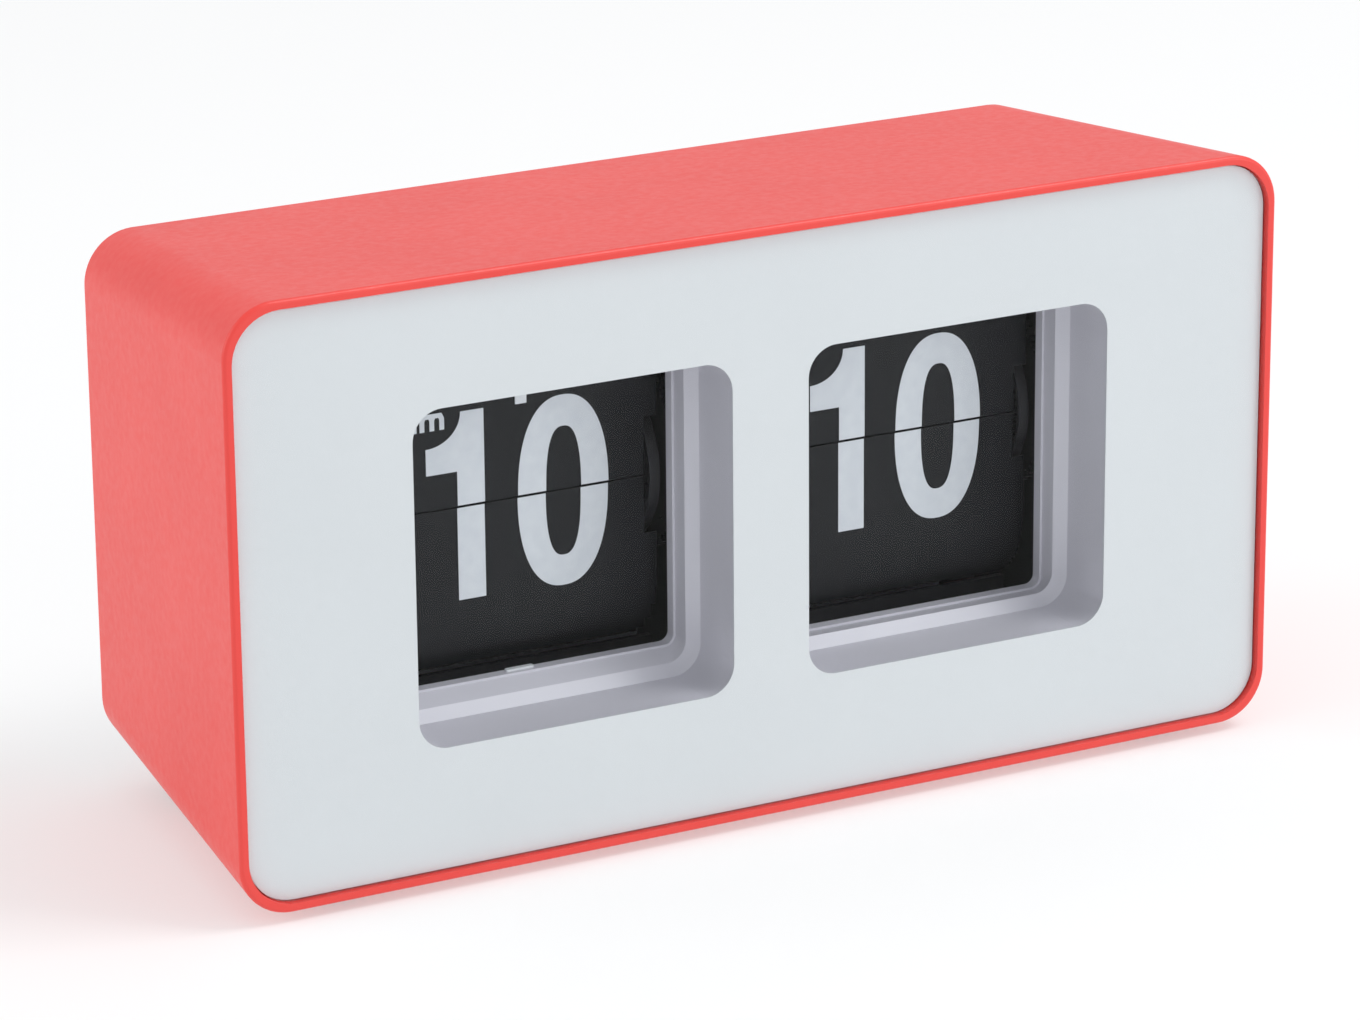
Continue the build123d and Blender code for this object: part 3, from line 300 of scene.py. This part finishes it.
def leaf_black():
    """Thin black satin sheet with a faint streak down it and a fine grain."""
    material, tree, shader = new_material("leaf_black")
    streaks = noise(tree, places(tree, (1.0, 1.0, 0.15)), 260.0, 4.0)
    stops = ((0.3, (0.006, 0.0065, 0.008)), (0.7, (0.009, 0.0095, 0.0115)))
    tree.links.new(ramp(tree, streaks, stops), shader.inputs["Base Color"])
    polish = noise(tree, places(tree), 800.0, 4.0)
    tree.links.new(spread(tree, polish, 0.28, 0.34), shader.inputs["Roughness"])
    add_bump(tree, shader, noise(tree, places(tree), 1800.0, 2.0), 0.0006 * MM)
    shader.inputs["Specular IOR Level"].default_value = 0.22
    return material


def numeral_ink():
    """Screen-printed light grey ink, slightly uneven in thickness."""
    material, tree, shader = new_material("numeral_ink")
    where = places(tree)
    clouds = noise(tree, where, 500.0, 4.0)
    stops = ((0.3, (0.70, 0.73, 0.77)), (0.7, (0.76, 0.79, 0.82)))
    tree.links.new(ramp(tree, clouds, stops), shader.inputs["Base Color"])
    tree.links.new(spread(tree, noise(tree, where, 2500.0), 0.42, 0.55), shader.inputs["Roughness"])
    add_bump(tree, shader, noise(tree, where, 1800.0, 2.0), 0.0006 * MM)
    return material


def cell_wrap():
    """Plain battery foil: dark wrap with a lighter band at the plus end of each cell."""
    material, tree, shader = new_material("cell_wrap")
    split = tree.nodes.new("ShaderNodeSeparateXYZ")
    tree.links.new(places(tree), split.inputs["Vector"])
    size = tree.nodes.new("ShaderNodeMath")
    size.operation = "ABSOLUTE"
    tree.links.new(split.outputs["X"], size.inputs[0])
    along = tree.nodes.new("ShaderNodeMapRange")
    along.inputs["From Min"].default_value = 0.0
    along.inputs["From Max"].default_value = 0.0526
    tree.links.new(size.outputs["Value"], along.inputs["Value"])
    stops = (
        (0.0, (0.35, 0.35, 0.36)),
        (0.045, (0.02, 0.021, 0.024)),
        (0.70, (0.021, 0.022, 0.025)),
        (0.72, (0.24, 0.25, 0.27)),
        (0.94, (0.27, 0.28, 0.30)),
        (0.965, (0.55, 0.55, 0.57)),
    )
    tree.links.new(ramp(tree, along.outputs["Result"], stops), shader.inputs["Base Color"])
    tree.links.new(spread(tree, noise(tree, places(tree), 400.0), 0.2, 0.34), shader.inputs["Roughness"])
    shader.inputs["Metallic"].default_value = 0.35
    return material


def turned_brass():
    """Brass with fine rings from the lathe."""
    material, tree, shader = new_material("gear_brass")
    lines = noise(tree, places(tree, (6.0, 1.0, 1.0)), 1400.0, 4.0, 0.7)
    stops = ((0.3, (0.62, 0.43, 0.16)), (0.7, (0.78, 0.57, 0.25)))
    tree.links.new(ramp(tree, lines, stops), shader.inputs["Base Color"])
    tree.links.new(spread(tree, lines, 0.22, 0.38), shader.inputs["Roughness"])
    add_bump(tree, shader, lines, 0.004 * MM)
    shader.inputs["Metallic"].default_value = 1.0
    return material


def board_green():
    """Solder mask over copper tracks that run along the board."""
    material, tree, shader = new_material("board_green")
    waves = tree.nodes.new("ShaderNodeTexWave")
    waves.wave_type = "BANDS"
    waves.bands_direction = "Z"
    waves.inputs["Scale"].default_value = 130.0
    waves.inputs["Distortion"].default_value = 3.0
    tree.links.new(places(tree), waves.inputs["Vector"])
    stops = ((0.45, (0.012, 0.10, 0.045)), (0.55, (0.035, 0.20, 0.085)))
    tree.links.new(ramp(tree, waves.outputs["Fac"], stops), shader.inputs["Base Color"])
    add_bump(tree, shader, waves.outputs["Fac"], 0.03 * MM)
    shader.inputs["Roughness"].default_value = 0.3
    return material


FINISHES = {
    "case_red": case_red(),
    "glass_clear": front_pane("glass_clear", (0.985, 0.993, 0.996), 0.006, 0.015, 0.045),
    "mask_white": moulded("mask_white", (0.72, 0.735, 0.75), 0.5, 1800.0, 0.0005, 0.01, 30.0, 0.2),
    "tape_black": moulded("tape_black", (0.012, 0.012, 0.012), 0.85, 2600.0, 0.05),
    "bezel_grey": moulded("bezel_grey", (0.70, 0.685, 0.74), 0.34, 1500.0, 0.0006, 0.012, 60.0, 0.55, 0.01),
    "screw_steel": metal("screw_steel", (0.58, 0.58, 0.60), 0.3, (1.0, 1.0, 5.0)),
    "tab_white": moulded("tab_white", (0.80, 0.82, 0.84), 0.4, 3000.0, 0.006),
    "back_plastic": moulded("back_plastic", (0.70, 0.73, 0.76), 0.55, 1900.0, 0.02, 0.012),
    "foot_rubber": moulded("foot_rubber", (0.022, 0.022, 0.023), 0.8, 1500.0, 0.04, 0.15),
    "frame_plastic": moulded("frame_plastic", (0.022, 0.022, 0.025), 0.4, 2400.0, 0.01, 0.1),
    "rod_steel": metal("rod_steel", (0.62, 0.62, 0.64), 0.24, (0.15, 1.0, 1.0)),
    "wheel_black": moulded("wheel_black", (0.014, 0.014, 0.016), 0.32, 3000.0, 0.006, 0.1),
    "gear_white": moulded("gear_white", (0.74, 0.73, 0.67), 0.42, 2600.0, 0.008, 0.03),
    "gear_brass": turned_brass(),
    "leaf_black": leaf_black(),
    "can_steel": metal("can_steel", (0.64, 0.64, 0.66), 0.28, (0.2, 1.0, 1.0)),
    "rotor_magnet": metal("rotor_magnet", (0.13, 0.13, 0.14), 0.5, (1.0, 1.0, 1.0)),
    "cell_wrap": cell_wrap(),
    "board_green": board_green(),
    "chip_black": moulded("chip_black", (0.016, 0.016, 0.017), 0.6, 3200.0, 0.01, 0.15),
}
INK = numeral_ink()

slot_of = {part["node"]: part["material_slot"] for part in frame["record"]["subparts"]}


def paint_frame():
    """Every CAD node takes the finish of its own slot."""
    for name, slot in slot_of.items():
        piece = nodes[name]
        for place in piece.material_slots:
            place.material = FINISHES[slot]


paint_frame()

# ================================================================ printing on the leaves
SEAM = 52.35  # height of the split between the two leaves, mm
INK_DEPTH = 0.02
INK_GAP = 0.24  # from the seam to the ink
CURVE_STEPS = 16


def one_outline(shift):
    """The numeral 1: a stem with a flag whose top is hollowed out."""
    arc = []
    for step in range(1, CURVE_STEPS):
        turn = math.pi / 2 * step / CURVE_STEPS
        arc.append((-15.1 + 5.9 * math.cos(turn), 15.1 - 5.2 * math.sin(turn)))
    flag = [(-15.1, 9.9), (-15.1, 5.7), (-9.9, 5.7)]
    stem = [(-9.9, -15.0), (-5.3, -15.0), (-5.3, 15.1), (-9.2, 15.1)]
    return [[(x + shift, z) for x, z in flag + stem + arc]]


def oval(centre, half_width, half_height, fullness, steps=72):
    """A closed curve between an ellipse and a rectangle."""
    points = []
    for step in range(steps):
        turn = 2 * math.pi * (step + 0.5) / steps
        c = math.cos(turn)
        s = math.sin(turn)
        x = math.copysign(abs(c) ** (2 / fullness), c)
        z = math.copysign(abs(s) ** (2 / fullness), s)
        points.append((centre[0] + half_width * x, centre[1] + half_height * z))
    return points


def zero_outline():
    """The numeral 0: an outer and an inner oval."""
    outer = oval((8.05, -0.15), 7.75, 15.35, 2.3)
    inner = oval((8.1, -0.2), 3.0, 10.4, 2.6)
    return [outer, inner]


def letter_m():
    """A small m: three stems under two arches."""
    left, base, top = -16.0, 12.7, 15.4
    stem, pitch, round_by = 0.8, 1.65, 0.42
    points = [(left, base), (left + stem, base)]
    for gap in range(2):
        start = left + stem + gap * pitch
        end = start + pitch - stem
        points += [(start, top - 1.1), (start + 0.15, top - 0.75)]
        points += [(end - 0.15, top - 0.75), (end, top - 1.1)]
        points += [(end, base), (end + stem, base)]
    right = left + stem + 2 * pitch
    points += [(right, top - round_by - 0.4), (right - round_by, top)]
    points += [(left, top)]
    return points


def letter_a():
    """A small a: a round bowl against a stem."""
    outer = oval((-17.85, 14.05), 1.15, 1.4, 2.3, 32)
    inner = oval((-17.9, 14.05), 0.45, 0.75, 2.3, 24)
    stem = [(-17.15, 12.7), (-16.5, 12.7), (-16.5, 15.4), (-17.15, 15.4)]
    return [outer, inner], [stem]


def flat_shape(name, loops):
    """A thin slab filled inside the outline, with its front at -Y. Heights are from the seam."""
    curve = bpy.data.curves.new(name, "CURVE")
    curve.dimensions = "2D"
    curve.fill_mode = "BOTH"
    curve.extrude = INK_DEPTH / 2 * MM
    for loop in loops:
        spline = curve.splines.new("POLY")
        spline.points.add(len(loop) - 1)
        for point, (x, z) in zip(spline.points, loop):
            point.co = (x * MM, z * MM, 0.0, 1.0)
        spline.use_cyclic_u = True
    holder = bpy.data.objects.new(name, curve)
    mesh = bpy.data.meshes.new_from_object(holder)
    bpy.data.objects.remove(holder)
    bpy.data.curves.remove(curve)
    return mesh


def printed(name, shapes, half, gap, place, body):
    """Prints the upper (half 1) or lower (half -1) part of the shapes, kept gap mm from the seam."""
    work = bmesh.new()
    for shape in shapes:
        work.from_mesh(flat_shape(name, shape))
    bmesh.ops.remove_doubles(work, verts=work.verts, dist=1e-7)
    cut = bmesh.ops.bisect_plane(
        work,
        geom=work.verts[:] + work.edges[:] + work.faces[:],
        plane_co=(0, half * gap * MM, 0),
        plane_no=(0, half, 0),
        clear_inner=True,
    )
    rim = [edge for edge in cut["geom_cut"] if isinstance(edge, bmesh.types.BMEdge)]
    bmesh.ops.holes_fill(work, edges=rim)
    bmesh.ops.recalc_face_normals(work, faces=work.faces[:])
    mesh = bpy.data.meshes.new(name)
    work.to_mesh(mesh)
    work.free()
    mesh.transform(place)
    if place.determinant() < 0:
        mesh.flip_normals()
    mesh.materials.append(INK)
    piece = bpy.data.objects.new(name, mesh)
    scene.collection.objects.link(piece)
    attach(piece, body)
    return piece


STANDING = Matrix.Rotation(math.radians(90), 4, "X")  # X right, Z up, front towards -Y


def leaf_place(window_x, front_y, pin_y, pin_z, lean=0.0, back=False):
    """Where the printing lies: drawn flat about the seam, then set on the leaf and leant with it."""
    depth = front_y * MM - INK_DEPTH / 2 * MM
    flip = Matrix.Identity(4)
    if back:
        depth = front_y * MM + INK_DEPTH / 2 * MM
        flip = Matrix.Scale(-1, 4, (0, 0, 1))
    upright = Matrix.Translation((window_x * MM, depth, 0)) @ flip @ STANDING
    raised = Matrix.Translation((0, 0, SEAM * MM)) @ upright
    pin = Matrix.Translation((0, pin_y * MM, pin_z * MM))
    return pin @ Matrix.Rotation(-lean, 4, "X") @ pin.inverted() @ raised


# middle of each window, mm, and half of the angle between two leaves of its drum, degrees
WINDOWS = {"hour": (-33.2, 7.5), "minute": (33.2, 3.0)}
PIN_CIRCLE = 12.0
AXLE_Y = 0.5
LEAF_HALF_THICKNESS = 0.09
LOWER_LEAF_BACK = 0.25
NEXT_LEAF_BACK = 0.3
LEAN_START = 14.0  # leaves higher on the drum than this angle lean back


def print_leaves(name, window_x, half_pitch, now, following):
    """The number shown now, over the two front leaves, and the next one behind the falling leaf."""
    body = name + "_falling_leaf"
    root = "clock"
    pin_rise = PIN_CIRCLE * math.sin(math.radians(half_pitch))
    flap_plane = AXLE_Y - PIN_CIRCLE
    lower_plane = flap_plane + LOWER_LEAF_BACK
    flap_face = flap_plane - LEAF_HALF_THICKNESS
    lower_face = lower_plane - LEAF_HALF_THICKNESS
    back_face = flap_plane + LEAF_HALF_THICKNESS
    on_flap = leaf_place(window_x, flap_face, flap_plane, SEAM + pin_rise)
    on_lower = leaf_place(window_x, lower_face, lower_plane, SEAM - pin_rise)
    on_back = leaf_place(window_x, back_face, flap_plane, SEAM + pin_rise, back=True)
    printed(name + "_numeral_upper", now, 1, INK_GAP, on_flap, body)
    printed(name + "_numeral_lower", now[:2], -1, INK_GAP, on_lower, root)
    printed(name + "_numeral_back", following[:2], -1, INK_GAP, on_back, body)
    next_angle = math.radians(3 * half_pitch)
    next_rise = PIN_CIRCLE * math.sin(next_angle)
    next_plane = max(-PIN_CIRCLE * math.cos(next_angle), -PIN_CIRCLE + NEXT_LEAF_BACK) + AXLE_Y
    lean = max(3 * half_pitch - LEAN_START, 0.0)
    lift = Matrix.Translation((0, 0, (next_rise - pin_rise) * MM))
    pin = (next_plane, SEAM + pin_rise)
    flat_place = leaf_place(window_x, next_plane - LEAF_HALF_THICKNESS, *pin, math.radians(lean))
    printed(name + "_numeral_next", following, 1, INK_GAP, lift @ flat_place, root)


bowl, stem = letter_a()
HALF_DAY = [[letter_m()], bowl, stem]
TEN = [one_outline(0.0), zero_outline()]
ELEVEN = [one_outline(0.0), one_outline(18.25)]
print_leaves("hour", *WINDOWS["hour"], TEN + HALF_DAY, ELEVEN + HALF_DAY)
print_leaves("minute", *WINDOWS["minute"], TEN, ELEVEN)


# ================================================================ floor and light
def floor_paper():
    """White studio paper, partly lit from behind so that it stays pale near the case."""
    material = moulded("floor_paper", (0.52, 0.52, 0.52), 0.8, 400.0, 0.0, 0.005, 4.0, 0.1)
    shader = next(n for n in material.node_tree.nodes if n.type == "BSDF_PRINCIPLED")
    shader.inputs["Emission Color"].default_value = (1.0, 1.0, 1.0, 1.0)
    shader.inputs["Emission Strength"].default_value = 0.42
    return material


def make_floor():
    mesh = bpy.data.meshes.new("floor")
    work = bmesh.new()
    bmesh.ops.create_grid(work, x_segments=4, y_segments=4, size=4.0)
    work.to_mesh(mesh)
    work.free()
    floor = bpy.data.objects.new("floor", mesh)
    floor.location.z = -0.0001
    scene.collection.objects.link(floor)
    mesh.materials.append(floor_paper())


def area_light(name, place, aim, size, power):
    """A soft rectangle of light, power in watts."""
    data = bpy.data.lights.new(name, "AREA")
    data.shape = "RECTANGLE"
    data.size, data.size_y = size
    data.energy = power
    lamp = bpy.data.objects.new(name, data)
    lamp.location = place
    direction = Vector(aim) - Vector(place)
    lamp.rotation_euler = direction.to_track_quat("-Z", "Y").to_euler()
    scene.collection.objects.link(lamp)


def make_light():
    world = bpy.data.worlds.new("studio")
    scene.world = world
    world.use_nodes = True
    background = world.node_tree.nodes["Background"]
    background.inputs["Color"].default_value = (0.97, 0.985, 1.0, 1.0)
    background.inputs["Strength"].default_value = 0.78
    area_light("overhead", (0.62, -0.42, 1.2), (0, 0, 0.05), (0.55, 0.55), 7.0)
    area_light("right_front", (0.75, -1.0, 0.35), (0.05, 0, 0.05), (0.7, 0.5), 2.4)
    area_light("left", (-1.3, 0.25, 0.55), (0, 0, 0.05), (0.9, 0.9), 4.6)
    scene.view_settings.view_transform = "Standard"
    scene.view_settings.look = "None"


make_floor()
make_light()
